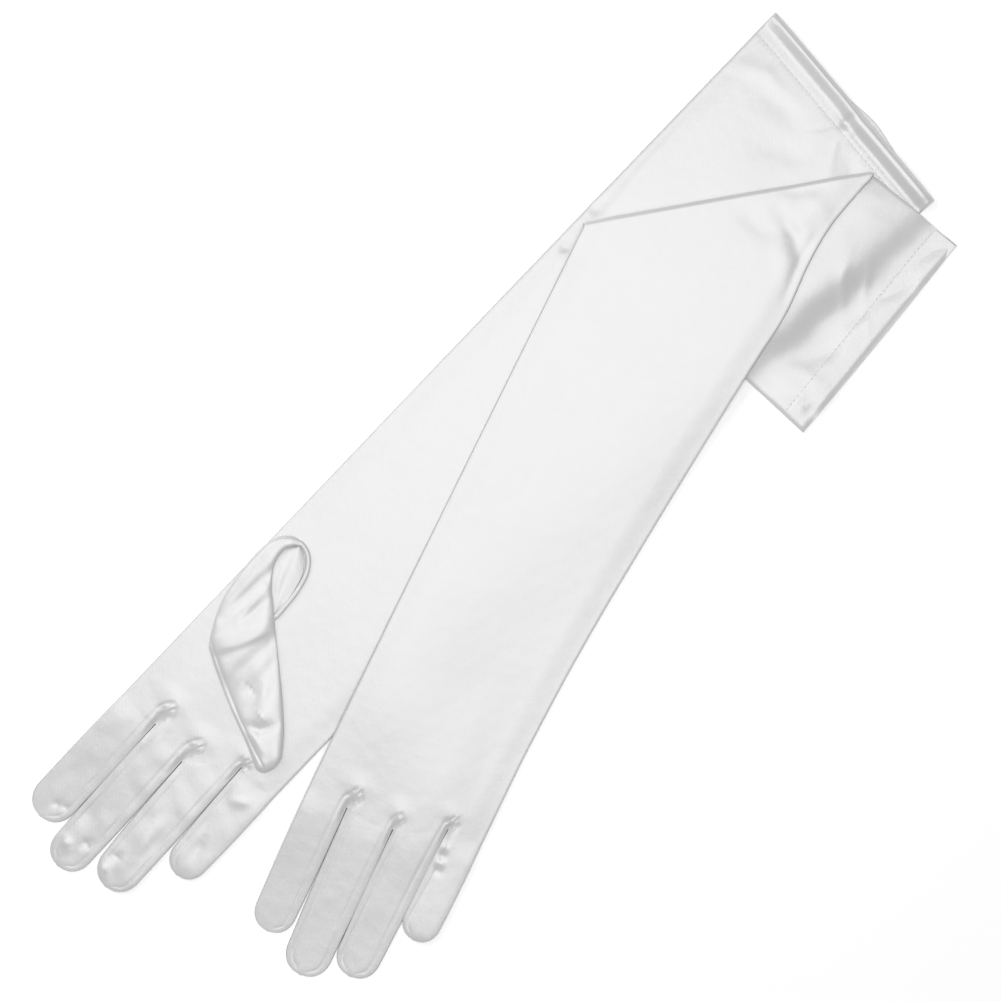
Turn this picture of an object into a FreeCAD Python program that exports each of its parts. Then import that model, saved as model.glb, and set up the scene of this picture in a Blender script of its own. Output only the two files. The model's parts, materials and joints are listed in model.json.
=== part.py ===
"""A pair of long satin opera gloves, laid flat one across the other.

The right glove lies lowest, palm up, with its thumb folded over the palm.  The left glove
lies across it, back up, with its thumb under its palm, and the last part of its sleeve is
turned under along a slanting fold, so that its cuff comes out beside the right glove.

Each glove is cut as the real one is: a palm and a back joined by a folded edge and a side
seam, a front and a back stall for each finger with fourchette strips between them, a thumb
set in an oval hole in the palm, and a turned, stitched hem.

Every glove is drawn in its own flat frame: u runs from the folded edge, beside the index
finger, to the side seam; v runs from the middle fingertip to the cuff; z is up.  Lengths
are millimetres and angles are degrees.
"""
import FreeCAD, Part

import math
import os

V = FreeCAD.Vector

# cloth
CLOTH = 0.4             # one layer of satin
THICKNESS = 2.5         # a glove lying flat, its two layers and the air between them
LAYER_GAP = 0.4         # between two things that lie on each other
SEAM_ALLOWANCE = 1.2    # folded edge of cloth inside the side seam
THREAD = 0.4            # a row of stitches, across
THREAD_PROUD = 0.1      # how far the stitches stand out of the cloth

# the flat pattern, the same for both hands
EDGE_AT_CUFF = (2.5, 587.0)         # the folded edge meets the cuff
SIDE_SEAM = [(96.0, 104.0), (96.6, 165.0), (101.0, 245.0), (113.0, 383.0), (121.0, 470.0), (132.0, 575.0)]
HEM_DEPTH = 15.0
FINGERS = {
    # name: (inner edge u, outer edge u, knuckle v, fingertip, width near the tip)
    "index": (0.0, 23.2, 92.0, (14.5, 11.5), 23.6),
    "middle": (23.2, 48.8, 92.0, (41.3, -1.0), 24.0),
    "ring": (48.8, 74.4, 97.0, (65.5, 9.5), 23.4),
    "little": (74.4, 96.0, 104.0, (88.8, 41.0), 21.0),
}
FINGER_SPACE = 0.4      # taken off each side of a finger
KNUCKLE_GAP = 0.6       # between the palm and a finger

# the thumb, as it lies across the palm
THUMB_HEIGHT = 2.0
THUMB_ROOT = (16.5, 198.0)
THUMB_ROOT_HALF = 14.0
THUMB_INNER = [(4.5, 168.0), (18.0, 139.5), (45.0, 124.5), (76.0, 111.5)]
THUMB_TIP = (85.0, 114.0)
THUMB_OUTER = [(80.5, 126.5), (60.0, 147.5), (36.0, 167.5)]
THUMB_HOLE = (10.0, 13.0)           # half width and half length of the hole in the palm
THUMB_HOLE_BACK = 13.0              # its centre, towards the fingers from the thumb's root
THUMB_WALL_INNER = 15.0             # the seam that stands round the thumb's root
THUMB_WALL_OUTER = 16.2

# the slanting fold in the left sleeve, where it would show if the glove lay open
FOLD_START = (1.0, 424.5)
FOLD_END = (126.7, 515.5)
FOLD_GAP = 0.3          # the layers stop this far short of the fold's axis

# where each glove lies: its origin, its turn about z and the height of its palm and sleeve
RIGHT = {"name": "right", "origin": (-260.22, -167.815), "turn": -43.6, "height": 0.0}
LEFT = {
    "name": "left",
    "origin": (-140.42, -234.715),
    "turn": -25.85,
    "height": 2 * (THICKNESS + LAYER_GAP),
}
THUMB_LEVEL = THICKNESS + LAYER_GAP     # both thumbs lie between the two gloves
FAR = 1000.0            # longer than anything here


def at(point, z=0.0):
    return V(point[0], point[1], z)


def shifted(point, du, dv):
    return (point[0] + du, point[1] + dv)


def polygon(points):
    return Part.makePolygon([at(p) for p in points] + [at(points[0])])


def smooth(points):
    """A smooth edge through the points."""
    curve = Part.BSplineCurve()
    curve.interpolate([at(p) for p in points])
    return curve.toShape()


def line(start, end):
    return Part.makeLine(at(start), at(end))


def slab(wire, bottom, top):
    """A plate of the wire's outline."""
    face = Part.Face(wire)
    face.translate(V(0, 0, bottom))
    return face.extrude(V(0, 0, top - bottom))


def placed(shape, glove):
    """Moves a shape from the glove's own flat frame to where the glove lies."""
    moved = shape.copy()
    moved.rotate(V(0, 0, 0), V(0, 0, 1), glove["turn"])
    moved.translate(at(glove["origin"]))
    return moved


def placed_point(point, glove):
    turn = FreeCAD.Rotation(V(0, 0, 1), glove["turn"])
    return turn.multVec(point) + at(glove["origin"])


def placed_direction(direction, glove):
    return FreeCAD.Rotation(V(0, 0, 1), glove["turn"]).multVec(direction)


# ---------------------------------------------------------------- palm, back and sleeve

def knuckle_line():
    """The front edge of the palm, from the index finger to the little finger."""
    points = []
    for inner, outer, knuckle, _, _ in FINGERS.values():
        points += [(inner, knuckle), (outer, knuckle)]
    return [p for i, p in enumerate(points) if p not in points[:i]]


def panel_outline():
    """The palm and sleeve, from the knuckles to the cuff."""
    front = knuckle_line()
    edges = [line(a, b) for a, b in zip(front, front[1:])]
    edges.append(smooth(SIDE_SEAM))
    edges.append(line(SIDE_SEAM[-1], EDGE_AT_CUFF))
    edges.append(line(EDGE_AT_CUFF, front[0]))
    return Part.Wire(edges)


def side_band(points, across):
    """A narrow band along the inside of an edge, as wide as `across`."""
    inside = [shifted(p, across, 0.0) for p in points]
    if len(points) == 2:
        return polygon([points[0], points[1], inside[1], inside[0]])
    return Part.Wire([
        smooth(points),
        line(points[-1], inside[-1]),
        smooth(inside),
        line(inside[0], points[0]),
    ])


def hem_band(start, end):
    """A box across the sleeve that holds what lies from `start` to `end` mm inside the cuff."""
    along = at(SIDE_SEAM[-1]) - at(EDGE_AT_CUFF)
    along.normalize()
    inward = V(along.y, -along.x, 0)
    first = at(EDGE_AT_CUFF) - along * FAR
    last = at(EDGE_AT_CUFF) + along * FAR
    corners = [first + inward * start, last + inward * start, last + inward * end, first + inward * end]
    return slab(polygon([(c.x, c.y) for c in corners]), -FAR, FAR)


def thumb_hole():
    """The oval hole that the thumb is set in."""
    across, long_half = THUMB_HOLE
    oval = Part.Ellipse(V(0, 0, 0), long_half, across).toShape()
    wire = Part.Wire([oval])
    wire.rotate(V(0, 0, 0), V(0, 0, 1), 90)
    wire.translate(at(shifted(THUMB_ROOT, 0.0, -THUMB_HOLE_BACK)))
    return slab(wire, -FAR, FAR)


def sleeve_pieces(glove):
    """Palm, back, edges and hem of one glove, open and flat at its height."""
    bottom = glove["height"]
    top = bottom + THICKNESS
    outline = panel_outline()
    sheets = {"upper": (top - CLOTH, top), "lower": (bottom, bottom + CLOTH)}
    hems = {"upper": (top - 2 * CLOTH, top), "lower": (bottom, bottom + 2 * CLOTH)}
    palm_side = "upper" if glove is RIGHT else "lower"
    back_side = "lower" if glove is RIGHT else "upper"
    body = hem_band(HEM_DEPTH + THREAD, FAR)
    hem = hem_band(-FAR, HEM_DEPTH)
    edge = [knuckle_line()[0], EDGE_AT_CUFF]
    inside = (bottom + CLOTH, top - CLOTH)
    pieces = {
        "palm_panel": slab(outline, *sheets[palm_side]).common(body).cut(thumb_hole()),
        "back_panel": slab(outline, *sheets[back_side]).common(body),
        "folded_edge": slab(side_band(edge, CLOTH), *inside).common(body),
        "side_seam": slab(side_band(SIDE_SEAM, -SEAM_ALLOWANCE), *inside).common(body),
        "hem_palm": slab(outline, *hems[palm_side]).common(hem),
        "hem_back": slab(outline, *hems[back_side]).common(hem),
        "hem_stitching": slab(outline, top - CLOTH, top + THREAD_PROUD).common(
            hem_band(HEM_DEPTH, HEM_DEPTH + THREAD)
        ),
    }
    return pieces


# ---------------------------------------------------------------- fingers

def stall_outline(inner, outer, knuckle, tip, width, inset, past_knuckle):
    """A finger lying flat: two sides that close in a little to a round tip."""
    root = V((inner + outer) / 2, knuckle, 0)
    along = at(tip) - root
    along.normalize()
    across = V(-along.y, along.x, 0)
    radius = width / 2 - inset
    centre = at(tip) - along * (width / 2)
    arc = Part.Arc(centre - across * radius, centre + along * radius, centre + across * radius).toShape()
    near = (inner + inset, knuckle + past_knuckle)
    far = (outer - inset, knuckle + past_knuckle)
    first = arc.Vertexes[0].Point
    last = arc.Vertexes[-1].Point
    if first.x > last.x:
        first, last = last, first
    return Part.Wire(Part.__sortEdges__([
        arc,
        Part.makeLine(last, at(far)),
        line(far, near),
        Part.makeLine(at(near), first),
    ]))


def half_plane(root, tip, side):
    """Everything to one side of a finger's centre line."""
    along = at(tip) - root
    along.normalize()
    across = V(-along.y, along.x, 0) * side
    a = root - along * FAR
    b = root + along * FAR
    corners = [a, b, b + across * FAR, a + across * FAR]
    return slab(polygon([(c.x, c.y) for c in corners]), -FAR, FAR)


def finger_pieces(name, glove):
    """One finger: front and back stalls, the strips between them, and its hinge."""
    inner, outer, knuckle, tip, width = FINGERS[name]
    inner += FINGER_SPACE
    outer -= FINGER_SPACE
    root = V((inner + outer) / 2, knuckle, 0)
    bottom = glove["height"]
    top = bottom + THICKNESS
    outline = stall_outline(inner, outer, knuckle, tip, width, 0.0, -KNUCKLE_GAP)
    hollow = stall_outline(inner, outer, knuckle, tip, width, CLOTH, KNUCKLE_GAP)
    ring = slab(outline, bottom + CLOTH, top - CLOTH).cut(slab(hollow, bottom, top))
    upper = slab(outline, top - CLOTH, top)
    lower = slab(outline, bottom, bottom + CLOTH)
    right = glove is RIGHT
    inner_strip = "fold_wall" if name == "index" else "inner_fourchette"
    outer_strip = "side_seam" if name == "little" else "outer_fourchette"
    pieces = {
        f"{name}_front": upper if right else lower,
        f"{name}_back": lower if right else upper,
        f"{name}_{inner_strip}": ring.common(half_plane(root, tip, -1)),
        f"{name}_{outer_strip}": ring.common(half_plane(root, tip, 1)),
    }
    # a finger of the upper glove slopes down from its knuckle until its tip is on the ground
    reach = (at(tip) - root).Length
    droop = math.asin(top / math.hypot(reach, THICKNESS)) - math.atan2(THICKNESS, reach)
    pivot = V(root.x, knuckle, top)
    for piece in pieces.values():
        piece.rotate(pivot, V(1, 0, 0), math.degrees(droop))
    return pieces, (pivot, V(-1, 0, 0))


# ---------------------------------------------------------------- thumb

def thumb_outline(inset):
    root_inner = shifted(THUMB_ROOT, -THUMB_ROOT_HALF + inset, -KNUCKLE_GAP)
    root_outer = shifted(THUMB_ROOT, THUMB_ROOT_HALF - inset, -KNUCKLE_GAP)
    points = [root_inner] + THUMB_INNER + [THUMB_TIP] + THUMB_OUTER + [root_outer]
    return Part.Wire([smooth(points), line(root_outer, root_inner)])


def thumb_pieces(glove):
    """The thumb's two layers, the seam round its root, and its hinge."""
    bottom = THUMB_LEVEL
    top = bottom + THUMB_HEIGHT
    right = glove is RIGHT
    upper = slab(thumb_outline(0.0), top - CLOTH, top)
    lower = slab(thumb_outline(0.0), bottom, bottom + CLOTH)
    centre = at(THUMB_ROOT, 0.0)
    # the wall stands between the palm and the thumb
    wall_bottom = THICKNESS if right else bottom
    wall_top = top if right else glove["height"]
    height = wall_top - wall_bottom
    base = centre + V(0, 0, wall_bottom)
    wall = Part.makeCylinder(THUMB_WALL_OUTER, height, base, V(0, 0, 1), 180)
    wall = wall.cut(Part.makeCylinder(THUMB_WALL_INNER, height, base))
    pieces = {
        "thumb_front": upper if right else lower,
        "thumb_back": lower if right else upper,
    }
    hinge_at = V(centre.x, centre.y, top)
    axis = V(-1, 0, 0) if right else V(0, 0, -1)
    return pieces, {"thumb_seam": wall}, (hinge_at, axis)


# ---------------------------------------------------------------- the fold in the left sleeve

def fold_frame():
    """A point on the fold's axis, its direction, and the way to the cuff."""
    along = at(FOLD_END) - at(FOLD_START)
    along.normalize()
    to_cuff = V(-along.y, along.x, 0)
    height = LEFT["height"] - LAYER_GAP / 2
    radius = LEFT["height"] + THICKNESS - height
    start = at(FOLD_START, height) - to_cuff * radius
    return start, along, to_cuff, radius


def fold_side(sign):
    """Everything on the hand's side (-1) or the cuff's side (+1) of the fold."""
    start, along, to_cuff, _ = fold_frame()
    near = start + to_cuff * sign * FOLD_GAP
    a = near - along * FAR
    b = near + along * FAR
    corners = [a, b, b + to_cuff * sign * FAR, a + to_cuff * sign * FAR]
    return slab(polygon([(c.x, c.y) for c in corners]), -FAR, FAR)


def fold_crease():
    """The cloth that turns round the outside of the fold."""
    start, along, to_cuff, radius = fold_frame()
    base = start - along * FAR
    outer = Part.makeCylinder(radius, 2 * FAR, base, along)
    inner = Part.makeCylinder(radius - CLOTH, 2 * FAR, base, along)
    sleeve = slab(panel_outline(), -FAR, FAR)
    beyond = fold_side(1)
    return outer.cut(inner).common(beyond).common(sleeve)


def turned_under(shape):
    """Swings the end of the left sleeve under the rest of it."""
    start, along, _, _ = fold_frame()
    turned = shape.copy()
    turned.rotate(start, along, 180)
    return turned


# ---------------------------------------------------------------- the pair

def right_glove():
    bodies = {"right_glove": sleeve_pieces(RIGHT)}
    hinges = {}
    for name in FINGERS:
        bodies[f"right_{name}"], hinges[f"right_{name}"] = finger_pieces(name, RIGHT)
    pieces, fixed, hinges["right_thumb"] = thumb_pieces(RIGHT)
    bodies["right_thumb"] = pieces
    bodies["right_glove"].update(fixed)
    return bodies, hinges


def left_glove():
    hand = {}
    cuff = {}
    for name, shape in sleeve_pieces(LEFT).items():
        if name.startswith("hem"):
            cuff[name] = turned_under(shape)
        else:
            hand[name] = shape.common(fold_side(-1))
            cuff[f"cuff_{name}"] = turned_under(shape.common(fold_side(1)))
    cuff["fold_crease"] = fold_crease()
    bodies = {"left_cuff": cuff, "left_glove": hand}
    hinges = {}
    for name in FINGERS:
        bodies[f"left_{name}"], hinges[f"left_{name}"] = finger_pieces(name, LEFT)
    pieces, fixed, hinges["left_thumb"] = thumb_pieces(LEFT)
    bodies["left_thumb"] = pieces
    hand.update(fixed)
    start, along, _, _ = fold_frame()
    # about this direction the hand swings up and over the fold
    hinges["left_glove"] = (start, along * -1)
    return bodies, hinges


def solid_of(shape, name):
    """The one solid in a shape."""
    solids = shape.Solids
    if len(solids) != 1:
        raise ValueError(f"{name} has {len(solids)} solids")
    return solids[0]


def build():
    """Every node's solid, the nodes of each body, and each body's hinge."""
    nodes = {}
    bodies = {}
    hinges = {}
    for glove, (shapes, turns) in ((RIGHT, right_glove()), (LEFT, left_glove())):
        for body, pieces in shapes.items():
            bodies[body] = []
            for piece, shape in pieces.items():
                node = f"{glove['name']}_{piece}"
                nodes[node] = solid_of(placed(shape, glove), node)
                bodies[body].append(node)
        for body, (point, axis) in turns.items():
            hinges[body] = (placed_point(point, glove), placed_direction(axis, glove))
    return nodes, bodies, hinges


NODES, BODIES, HINGES = build()
os.makedirs("parts", exist_ok=True)
for node_name, node_solid in NODES.items():
    node_solid.exportStep(f"parts/{node_name}.step")
whole = Part.makeCompound(list(NODES.values())).optimalBoundingBox(False)
print(f"{len(NODES)} nodes in {len(BODIES)} bodies")
print(f"x {whole.XMin:.2f} to {whole.XMax:.2f}, y {whole.YMin:.2f} to {whole.YMax:.2f}")
print(f"z {whole.ZMin:.3f} to {whole.ZMax:.2f}")
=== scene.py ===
"""A pair of long white satin opera gloves, laid flat one across the other.

Each glove is drawn in its own flat frame, in millimetres: u runs from the folded edge, beside
the index finger, to the side seam, and v runs from the middle fingertip to the cuff.  The
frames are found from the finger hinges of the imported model.  Everything is built as closed
tubes of cloth: rows run along the glove, and the columns of a row go once round it, over the
upper layer and back along the lower one.
"""

import json
import math

import bpy
import numpy as np
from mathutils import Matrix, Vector


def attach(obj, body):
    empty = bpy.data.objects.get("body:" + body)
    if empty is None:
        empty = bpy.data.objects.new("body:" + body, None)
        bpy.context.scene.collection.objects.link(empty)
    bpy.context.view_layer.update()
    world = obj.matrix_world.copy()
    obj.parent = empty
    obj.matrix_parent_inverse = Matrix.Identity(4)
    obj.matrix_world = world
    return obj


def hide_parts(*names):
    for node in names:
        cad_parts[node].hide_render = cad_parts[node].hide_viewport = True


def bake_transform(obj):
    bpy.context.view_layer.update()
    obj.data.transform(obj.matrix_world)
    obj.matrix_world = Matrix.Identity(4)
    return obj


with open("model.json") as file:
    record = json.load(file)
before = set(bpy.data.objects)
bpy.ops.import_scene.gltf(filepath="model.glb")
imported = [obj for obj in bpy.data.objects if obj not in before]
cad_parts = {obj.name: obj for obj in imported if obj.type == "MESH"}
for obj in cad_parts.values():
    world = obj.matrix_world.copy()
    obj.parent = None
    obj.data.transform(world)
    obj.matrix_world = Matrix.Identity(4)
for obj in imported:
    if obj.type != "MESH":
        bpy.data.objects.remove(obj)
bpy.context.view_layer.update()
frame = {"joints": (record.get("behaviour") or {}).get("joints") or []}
JOINTS = {j["name"]: j for j in frame["joints"]}

MM = 0.001
CLOTH = 0.4                 # one layer of satin
TOP_COLUMNS = 30            # columns over the top of each finger
UNDER_COLUMNS = 14          # and under it
ROW_STEP = 1.3              # along the glove
FINGER_NAMES = ("index", "middle", "ring", "little")


# ---- small mathematics ----

def smooth(t):
    """0 to 1 with level ends."""
    t = np.clip(t, 0, 1)
    return t * t * (3.0 - 2.0 * t)


def bell(x, width):
    """1 at x = 0, falling to nothing beyond about twice the width."""
    return np.exp(-(np.asarray(x, float) / width) ** 2)


def spline(points, count=60):
    """A Catmull-Rom curve through the points, evenly stepped from point to point."""
    p = np.asarray(points, float)
    p = np.vstack([2 * p[0] - p[1], p, 2 * p[-1] - p[-2]])
    spans = len(p) - 3
    t = np.linspace(0, spans, count)
    k = np.minimum(t.astype(int), spans - 1)
    f = (t - k)[:, None]
    a, b, c, d = p[k], p[k + 1], p[k + 2], p[k + 3]
    square = (2 * a - 5 * b + 4 * c - d) * f ** 2
    cube = (3 * b - a - 3 * c + d) * f ** 3
    return 0.5 * (2 * b + (c - a) * f + square + cube)


def edge_function(points):
    """u as a smooth function of v, through points given as (u, v)."""
    dense = spline(sorted(points, key=lambda p: p[1]), 200)
    return lambda v: np.interp(v, dense[:, 1], dense[:, 0])


def distance_to(path, u, v):
    """Distance of every (u, v) to a path, and how far along it the nearest point is, 0 to 1."""
    path = np.asarray(path, float)
    u = np.asarray(u, float)
    v = np.asarray(v, float)
    best = np.full(u.shape, 1e9)
    where = np.zeros(u.shape)
    steps = np.hypot(*(path[1:] - path[:-1]).T)
    total = steps.sum()
    run = 0.0
    for (a, b), step in zip(zip(path[:-1], path[1:]), steps):
        d = b - a
        t = np.clip(((u - a[0]) * d[0] + (v - a[1]) * d[1]) / max(step ** 2, 1e-9), 0, 1)
        gap = np.hypot(u - a[0] - t * d[0], v - a[1] - t * d[1])
        nearer = gap < best
        best = np.where(nearer, gap, best)
        where = np.where(nearer, (run + t * step) / total, where)
        run += step
    return best, where


def add_creases(z, u, v, at_ends, creases):
    """Adds ridges, or grooves where the rise is negative, each given as (path, width, rise)."""
    for path, width, rise in creases:
        d, where = distance_to(path, u, v)
        z = z + rise * bell(d, width) * (at_ends + (1 - at_ends) * np.sin(where * math.pi))
    return z


def ripples(u, v, size, seed):
    """Gentle unevenness about 1 high, of a few crossing waves about `size` mm long."""
    rng = np.random.default_rng(seed)
    total = np.zeros(np.broadcast(u, v).shape)
    for _ in range(7):
        angle = rng.uniform(0, 2 * math.pi)
        length = size * rng.uniform(0.6, 1.7)
        along = u * math.cos(angle) + v * math.sin(angle)
        total += np.sin(along * 2 * math.pi / length + rng.uniform(0, 6.28))
    return total / 4.0


# ---- the two gloves ----

class Glove:
    """The flat frame of one glove and the outline of its pattern."""

    def __init__(self, side, fingers, crotches, loops, folded, seam, cuff):
        self.side = side
        hinge = JOINTS[f"{side}_index_fold"]
        self.across = -np.array(hinge["axis"][:2])
        self.along = np.array([-self.across[1], self.across[0]])
        middle_of_index, knuckle = 11.6, 92.0
        at = np.array(hinge["pos_m"][:2]) / MM
        self.origin = at - self.across * middle_of_index - self.along * knuckle
        self.fingers = fingers
        self.crotches = crotches
        self.loops = loops
        self.folded = edge_function(folded)
        self.seam = edge_function(seam)
        self.cuff = cuff

    def row(self, u, v):
        """Row frame x and y, in mm."""
        u = np.asarray(u, float)
        v = np.asarray(v, float)
        x = self.origin[0] + u * self.across[0] + v * self.along[0]
        y = self.origin[1] + u * self.across[1] + v * self.along[1]
        return x, y

    def local(self, x, y):
        dx = np.asarray(x, float) - self.origin[0]
        dy = np.asarray(y, float) - self.origin[1]
        return dx * self.across[0] + dy * self.across[1], dx * self.along[0] + dy * self.along[1]


RIGHT = Glove(
    "right",
    # name: (fingertip, width near the tip)
    fingers={
        "index": ((12.4, 11), 24.6),
        "middle": ((37.5, -1.6), 23.4),
        "ring": ((63.3, 8.1), 24.4),
        "little": ((86.2, 38.6), 21.2),
    },
    crotches=[(0, 90), (23.3, 89), (47.2, 84), (72.3, 103.5), (96, 104)],
    loops=[(23, 103.5, 5.2), (47.4, 99.5, 5), (72.6, 108.5, 4)],
    folded=[(0, 0), (0, 200), (0.2, 400), (1, 600)],
    seam=[(95.5, 40), (96, 104), (96.6, 165), (101, 245), (112.5, 383), (121, 470),
          (131.4, 576)],
    cuff=((1, 589.7), (131.4, 575.5)),
)
LEFT = Glove(
    "left",
    fingers={
        "index": ((13.4, 12.3), 22.4),
        "middle": ((39.2, -1), 24.8),
        "ring": ((63.3, 9.7), 23.8),
        "little": ((85.5, 42), 20.8),
    },
    crotches=[(0, 91), (23.2, 89.9), (50.1, 90.1), (76.5, 102.9), (96.2, 104)],
    loops=[(24.6, 101.7, 4.6), (50.6, 99.4, 3.6), (77.4, 110.1, 3.8)],
    folded=[(0, 0), (0, 200), (1.8, 423), (4.8, 590)],
    seam=[(95.2, 50), (96.2, 104), (96.6, 165), (100.7, 244), (113.6, 383), (118.4, 425),
          (117.8, 457), (119.8, 480), (126, 505), (128.4, 516), (133.5, 576)],
    cuff=((4.6, 581.5), (132, 571)),
)

# the slanting fold in the left sleeve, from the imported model's hinge
FOLD = JOINTS["left_sleeve_unfold"]
FOLD_Z = FOLD["pos_m"][2] / MM
FOLD_ROW = np.array(FOLD["pos_m"][:2]) / MM
FOLD_AT = np.array(LEFT.local(*FOLD_ROW))
FOLD_WAY = FOLD_AT - np.array(LEFT.local(*(FOLD_ROW + np.array(FOLD["axis"][:2]))))
FOLD_OUT = np.array([-FOLD_WAY[1], FOLD_WAY[0]])


def beyond_fold(u, v):
    """How far a point of the left sleeve is past the fold, towards the cuff."""
    return (u - FOLD_AT[0]) * FOLD_OUT[0] + (v - FOLD_AT[1]) * FOLD_OUT[1]


def fold_v(u):
    """v of the fold at u."""
    return FOLD_AT[1] + (u - FOLD_AT[0]) * FOLD_WAY[1] / FOLD_WAY[0]


def turned_under(u, v):
    """Where a point of the flat left sleeve lies once it is turned under."""
    d = beyond_fold(u, v)
    return u - 2 * d * FOLD_OUT[0], v - 2 * d * FOLD_OUT[1]


# ---- heights ----

HAND_HEIGHT = 2.45          # of a glove's two layers lying flat
EDGE_FOLD = 1.5             # the creased edge itself
EDGE_RISE = 14.0            # from there the layers part slowly
FLOOR = 0.05


class Heights:
    """A map of heights over the row frame, 1 mm to a cell."""

    def __init__(self, values=None):
        self.low = -300.0
        self.size = 601
        self.x, self.y = np.meshgrid(np.arange(self.size) + self.low, np.arange(self.size) + self.low)
        self.z = np.zeros((self.size, self.size)) if values is None else values

    def at(self, x, y):
        fx = np.clip(np.asarray(x, float) - self.low, 0, self.size - 1.001)
        fy = np.clip(np.asarray(y, float) - self.low, 0, self.size - 1.001)
        i = fx.astype(int)
        j = fy.astype(int)
        fx = fx - i
        fy = fy - j
        z = self.z
        return (z[j, i] * (1 - fx) * (1 - fy) + z[j, i + 1] * fx * (1 - fy)
                + z[j + 1, i] * (1 - fx) * fy + z[j + 1, i + 1] * fx * fy)

    def draped(self, reach, soften):
        """The heights of a cloth laid over this: raised round every edge, then smoothed."""
        z = self.z.copy()
        for _ in range(reach):
            grown = z.copy()
            grown[1:] = np.maximum(grown[1:], z[:-1])
            grown[:-1] = np.maximum(grown[:-1], z[1:])
            grown[:, 1:] = np.maximum(grown[:, 1:], z[:, :-1])
            grown[:, :-1] = np.maximum(grown[:, :-1], z[:, 1:])
            z = grown
        span = np.arange(-3 * soften, 3 * soften + 1)
        kernel = np.exp(-0.5 * (span / soften) ** 2)
        kernel /= kernel.sum()
        padded = np.pad(z, 3 * soften, mode="edge")
        padded = np.apply_along_axis(lambda m: np.convolve(m, kernel, "valid"), 0, padded)
        padded = np.apply_along_axis(lambda m: np.convolve(m, kernel, "valid"), 1, padded)
        return Heights(padded)


def edge_profile(glove, u, v):
    """0 at the long edges of a sleeve, 1 a few mm inside them."""
    d = np.minimum(u - glove.folded(v), glove.seam(v) - u)
    fold = np.clip(d / EDGE_FOLD, 0, 1)
    return 0.5 * np.sqrt(1 - (1 - fold) ** 2) + 0.5 * smooth(d / EDGE_RISE)


def gap_valley(glove, u, v):
    """1 in the valley between two fingers, fading out up the palm."""
    total = np.zeros(np.broadcast(u, v).shape)
    for (cu, cv), (lu, lv, half) in zip(glove.crotches[1:-1], glove.loops):
        up = np.clip((v - cv) / (lv - cv), -1, 3)
        middle = cu + (lu - cu) * np.clip(up, 0, 1)
        width = half * (0.42 + 0.5 * smooth(up))
        total = np.maximum(total, bell(u - middle, width) * (1 - smooth(up / 0.9)))
    return total


def seam_paths(glove):
    """The seams of the fourchettes: each runs down one finger, round the crotch and down the next."""
    paths = []
    for k, (lu, lv, half) in enumerate(glove.loops):
        left, right = FINGER_NAMES[k], FINGER_NAMES[k + 1]
        (tip_a, wide_a), (tip_b, wide_b) = glove.fingers[left], glove.fingers[right]
        cu, cv = glove.crotches[k + 1]
        inset = half - 0.6
        low_a = (tip_a[0] + wide_a / 2 - 4, tip_a[1] + wide_a / 2 - 1)
        low_b = (tip_b[0] - wide_b / 2 + 3.6, tip_b[1] + wide_b / 2 - 1)
        mid_a = (0.5 * (cu + low_a[0]) - 2.6, 0.5 * (cv + low_a[1]))
        mid_b = (0.5 * (cu + low_b[0]) + 2.4, 0.5 * (cv + low_b[1]))
        down_one = [(tip_a[0] + 3, tip_a[1] + 2.6), low_a, mid_a, (cu - inset - 0.4, cv + 1)]
        round_crotch = [(lu - half * 0.86, lv - half), (lu, lv), (lu + half * 0.86, lv - half)]
        down_next = [(cu + inset + 0.2, cv - 1), mid_b, low_b, (tip_b[0] - 3, tip_b[1] + 2.6)]
        paths.append(spline(down_one + round_crotch + down_next, 150))
    return paths


def seam_relief(paths, u, v):
    """A stitched seam: a narrow groove with the cloth swelling a little beside it."""
    depth, swell = 0.30, 0.08
    total = np.zeros(np.broadcast(u, v).shape)
    for path in paths:
        d, where = distance_to(path, u, v)
        strength = 0.3 + 0.7 * smooth(np.minimum(where, 1 - where) / 0.07)
        total += strength * (-depth * bell(d, 0.45) + swell * bell(d - 2, 1.6))
    return total


def puckers(glove, u, v):
    """Small gathers where the seam turns tightly round each crotch."""
    total = np.zeros(np.broadcast(u, v).shape)
    for (cu, cv), (lu, lv, half) in zip(glove.crotches[1:-1], glove.loops):
        mu, mv = 0.35 * cu + 0.65 * lu, 0.35 * cv + 0.65 * lv
        r = np.hypot((u - mu) / half, (v - mv) / (half * 1.25))
        angle = np.arctan2(v - mv, u - mu)
        rays = np.cos(angle * 5 + 1.3 * cu) + 0.6 * np.cos(angle * 8 + cv)
        total += 0.17 * rays * bell(r - 0.45, 0.4)
    return total


def hand_relief(glove, u, v):
    """What the hand and sleeve have on top of their plain height."""
    z = seam_relief(SEAM_PATHS[glove.side], u, v) + puckers(glove, u, v)
    z = z + 0.10 * ripples(u, v, 46, 3 if glove is RIGHT else 4) + 0.028 * ripples(u, v, 13, 5)
    for lu, lv, half in glove.loops:
        # a soft swelling just above each crotch, where the cloth is pulled up
        z = z + 0.55 * np.exp(-((u - lu + 1.5) / (half * 1.7)) ** 2 - ((v - lv - 2) / 5) ** 2)
        # the cloth inside the loop is pushed up between the fingers
        inside = ((u - lu) / (half * 0.5)) ** 2
        z = z + 0.45 * np.exp(-inside - ((v - lv + half * 0.9) / (half * 0.6)) ** 2)
    return z


SEAM_PATHS = {glove.side: seam_paths(glove) for glove in (RIGHT, LEFT)}


# ---- meshes ----

MATERIALS = {}


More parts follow.
